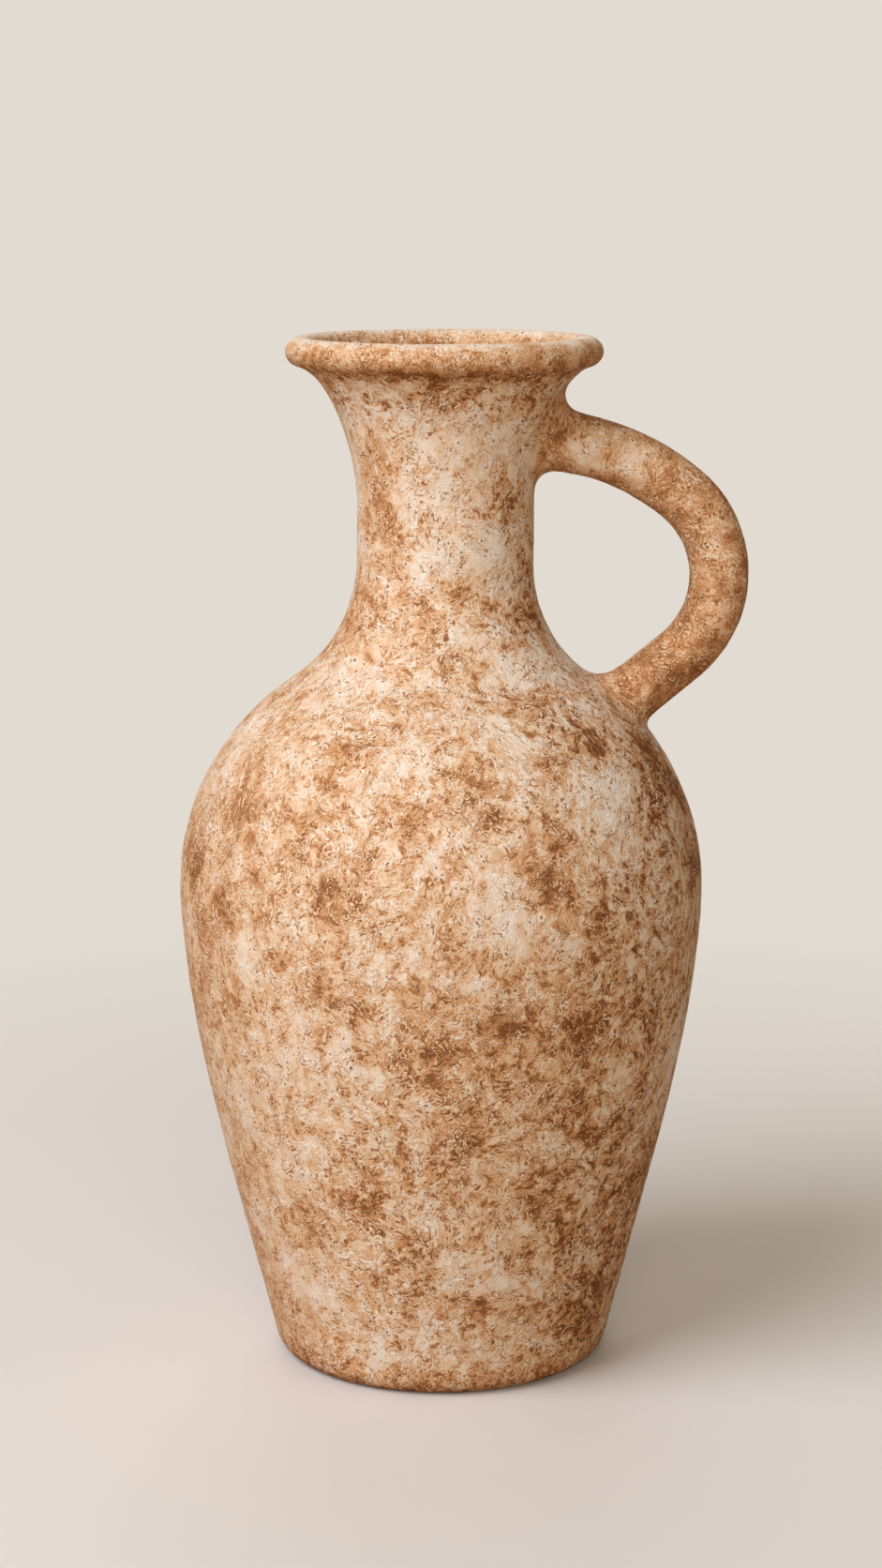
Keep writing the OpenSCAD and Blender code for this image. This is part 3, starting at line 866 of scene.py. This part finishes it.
def ceramic():
    """Brown clay under a tan and a cream wash that have been brushed on and rubbed back."""
    g = Graph("mottled_ceramic")
    place = g.place()
    tone = g.attribute("tone")
    wear = g.attribute("wear")

    # Bends of the place, so that what follows lies in swept and curled strokes
    swept = g.bent(g.bent(place, scale=35.0, reach=0.012), scale=110.0, reach=0.005)
    curled = g.bent(swept, scale=480.0, reach=0.0022)
    brushed = g.vector("MULTIPLY", curled, (1.0, 1.0, 1.35))
    dabbed = g.vector("MULTIPLY", curled, (1.0, 1.0, 0.6))

    # Fine marks in bundles: level lines of smooth noises, broken into short hooks
    wave_noise = g.noise(swept, scale=200.0, detail=1.0, rough=0.5)
    curl_noise = g.noise(curled, scale=420.0, detail=0.5, rough=0.5)
    wave = g.math("SINE", g.math("MULTIPLY", wave_noise, 2 * math.pi * WAVE_TURNS))
    curl = g.math("SINE", g.math("MULTIPLY", curl_noise, 2 * math.pi * CURL_TURNS))
    chop = g.ease(g.noise(place, scale=520.0, detail=1.0), 0.44, 0.56)
    rest = g.math("SUBTRACT", 1.0, chop)
    lines = g.math("ADD", g.math("MULTIPLY", wave, chop), g.math("MULTIPLY", curl, rest))
    bundle = g.ease(g.noise(swept, scale=170.0, detail=3.0, rough=0.6), 0.44, 0.54)
    short = g.ease(g.noise(swept, scale=640.0, detail=1.0), 0.46, 0.54)
    hooks = g.math("MULTIPLY", g.ease(lines, -0.4, -0.85), g.math("MULTIPLY", bundle, short))
    group = g.ease(g.noise(swept, scale=120.0, detail=2.0), 0.42, 0.58)
    strokes = g.math("MULTIPLY", g.ease(lines, 0.3, 0.85), g.math("MULTIPLY_ADD", group, 0.8, 0.3))
    grain = g.noise(place, scale=2400.0, detail=2.0, rough=0.7)

    # The wash: soft clouds, then torn flakes of cream and bites where the brown shows through
    cloud = g.noise(place, scale=40.0, detail=3.0)
    blot = g.noise(swept, scale=130.0, detail=4.0, rough=0.62)
    wash = g.sum((0.16, tone), (0.28, cloud), (0.52, blot))
    dapple = g.noise(dabbed, scale=260.0, detail=2.0, rough=0.5)
    flake = g.noise(dabbed, scale=370.0, detail=2.0, rough=0.5)
    bite = g.noise(brushed, scale=350.0, detail=2.0, rough=0.52)
    followed = g.math("MULTIPLY", wash, MARKS_FOLLOW)
    flakes = g.math("MULTIPLY", g.ease(g.math("ADD", followed, flake), *FLAKE_LEVELS), wear)
    bites = g.math("MULTIPLY", g.ease(g.math("ADD", followed, bite), *BITE_LEVELS), wear)

    # Small pits with a pale edge, in some of the cells
    cells = g.node("ShaderNodeTexVoronoi", {"Vector": swept, "Scale": 270.0, "Randomness": 1.0})
    gap = cells.outputs["Distance"]
    cell_number = g.node("ShaderNodeSeparateColor", {0: cells.outputs["Color"]}).outputs[0]
    chosen = g.math("GREATER_THAN", cell_number, PIT_CHOICE)
    pit = g.math("MULTIPLY", g.ease(gap, *PIT_EDGE), chosen)
    off_ring = g.math("ABSOLUTE", g.math("SUBTRACT", gap, RING_RADIUS))
    ring = g.math("MULTIPLY", g.ease(off_ring, RING_WIDTH, 0.0), chosen)

    worn = g.math("MULTIPLY", strokes, bites)
    level = g.sum((0.90, wash), (0.10, flakes), (-0.16, bites), (0.16, strokes), (0.22, worn),
                  (0.84, grain), (0.20, ring), (0.30, dapple))
    colour = g.ramp(g.math("SUBTRACT", level, LEVEL_SHIFT), WASH_COLOURS)
    colour = g.mix(g.math("MULTIPLY", hooks, 0.8), colour, HOOK_BROWN)
    colour = g.mix(g.math("MULTIPLY", pit, 0.75), colour, PIT_BROWN)

    height = g.sum((0.15, strokes), (-0.10, bites), (0.15, flakes), (0.10, grain), (0.10, ring))
    bump = g.node("ShaderNodeBump", {"Height": height, "Strength": 1.0, "Distance": BUMP_DISTANCE})
    shader = g.node("ShaderNodeBsdfPrincipled", {
        "Base Color": colour,
        "Roughness": g.math("ADD", 0.62, g.math("MULTIPLY", blot, 0.22)),
        "Specular IOR Level": 0.03,
        "Normal": bump.outputs["Normal"],
    })
    return g.finish(shader.outputs["BSDF"])


def backdrop_share(tree):
    """1 on rays that see the background, straight or by a reflection, and 0 on rays that light the jug."""
    rays = tree.nodes.new("ShaderNodeLightPath")
    share = tree.nodes.new("ShaderNodeMath")
    share.operation = "MAXIMUM"
    both = tree.nodes.new("ShaderNodeMath")
    both.operation = "MAXIMUM"
    tree.links.new(rays.outputs["Is Camera Ray"], both.inputs[0])
    tree.links.new(rays.outputs["Is Glossy Ray"], both.inputs[1])
    tree.links.new(both.outputs[0], share.inputs[0])
    tree.links.new(rays.outputs["Is Transmission Ray"], share.inputs[1])
    return share.outputs[0]


def floor_material():
    """Pale floor that runs into the backdrop away from the jug and keeps its shadow near it."""
    g = Graph("pale_floor")
    place = g.place()
    pale = g.mix(g.noise(place, scale=5.0, detail=4.0), FLOOR_COLOUR, FLOOR_PALE)
    looked_at = backdrop_share(g.tree)
    shader = g.node("ShaderNodeBsdfPrincipled", {
        "Base Color": g.mix(looked_at, FLOOR_BOUNCE, pale),
        "Roughness": 0.7,
        "Specular IOR Level": 0.2,
    })
    distance = g.node("ShaderNodeVectorMath", {0: place}, operation="LENGTH").outputs["Value"]
    share = g.math("MULTIPLY", g.ease(distance, *FLOOR_FADE), looked_at)
    backdrop = g.node("ShaderNodeEmission", {"Color": BACKDROP, "Strength": 1.0}).outputs["Emission"]
    blend = g.node("ShaderNodeMixShader", {0: share, 1: shader.outputs["BSDF"], 2: backdrop})
    return g.finish(blend.outputs[0])


CERAMIC = ceramic()
for node, piece in PIECES.items():
    piece.data.materials.append(CERAMIC)
    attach(piece, "root")
    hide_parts(node)


# Stage: floor, lamps, world and camera, in metres

FLOOR_R = 6.0
FLOOR_STEPS = 96
floor_turns = np.linspace(0, 2 * math.pi, FLOOR_STEPS, endpoint=False)
floor_mesh = bpy.data.meshes.new("floor")
floor_ring = [(FLOOR_R * math.cos(a), FLOOR_R * math.sin(a), 0.0) for a in floor_turns]
floor_mesh.from_pydata(floor_ring, [], [list(range(FLOOR_STEPS))])
floor = bpy.data.objects.new("floor", floor_mesh)
bpy.context.scene.collection.objects.link(floor)
floor.data.materials.append(floor_material())


def lamp(name, place, target, size, power, colour=(1.0, 1.0, 1.0)):
    """A round soft lamp that faces its target."""
    data = bpy.data.lights.new(name, "AREA")
    data.shape = "DISK"
    data.size = size
    data.energy = power
    data.color = colour
    obj = bpy.data.objects.new(name, data)
    bpy.context.scene.collection.objects.link(obj)
    obj.location = place
    way = np.array(target) - np.array(place)
    tilt = math.atan2(math.hypot(way[0], way[1]), -way[2])
    obj.rotation_euler = (tilt, 0, math.atan2(way[0], -way[1]) + math.pi)


lamp("key", (-1.75, -1.5, 2.15), (0, 0, 0.18), size=2.4, power=90.0, colour=(0.96, 1.005, 1.10))
lamp("fill", (0.1, -2.6, 1.1), (0, 0, 0.2), size=1.6, power=28.0, colour=(1.0, 0.945, 0.865))
lamp("back", (-0.2, 2.6, 2.0), (0, 0, 0.2), size=2.4, power=22.0)

AMBIENT = 0.26
AMBIENT_COLOUR = (1.0, 0.78, 0.53, 1.0)
world = bpy.data.worlds.new("studio")
bpy.context.scene.world = world
world.use_nodes = True
world_tree = world.node_tree
world_tree.nodes.clear()
lit = world_tree.nodes.new("ShaderNodeBackground")
lit.inputs["Strength"].default_value = AMBIENT
lit.inputs["Color"].default_value = AMBIENT_COLOUR
seen = world_tree.nodes.new("ShaderNodeBackground")
seen.inputs["Color"].default_value = BACKDROP
world_blend = world_tree.nodes.new("ShaderNodeMixShader")
world_out = world_tree.nodes.new("ShaderNodeOutputWorld")
world_tree.links.new(backdrop_share(world_tree), world_blend.inputs[0])
world_tree.links.new(lit.outputs[0], world_blend.inputs[1])
world_tree.links.new(seen.outputs[0], world_blend.inputs[2])
world_tree.links.new(world_blend.outputs[0], world_out.inputs[0])

# The photo's camera, fitted to the outline: height of the image and focal length in pixels, dip in degrees
IMAGE_H = 1672
FOCAL_PX = 3603.0
SENSOR_MM = 36.0
CAMERA_PLACE = (0.0, -1.163, 0.4229)
CAMERA_DIP = 10.644
camera_data = bpy.data.cameras.new("camera")
camera_data.sensor_fit = "AUTO"
camera_data.sensor_width = SENSOR_MM
camera_data.lens = FOCAL_PX / IMAGE_H * SENSOR_MM
camera_data.dof.use_dof = False
camera = bpy.data.objects.new("camera", camera_data)
bpy.context.scene.collection.objects.link(camera)
camera.location = CAMERA_PLACE
camera.rotation_euler = (math.radians(90 - CAMERA_DIP), 0.0, 0.0)
bpy.context.scene.camera = camera

bpy.context.scene.view_settings.view_transform = "Standard"
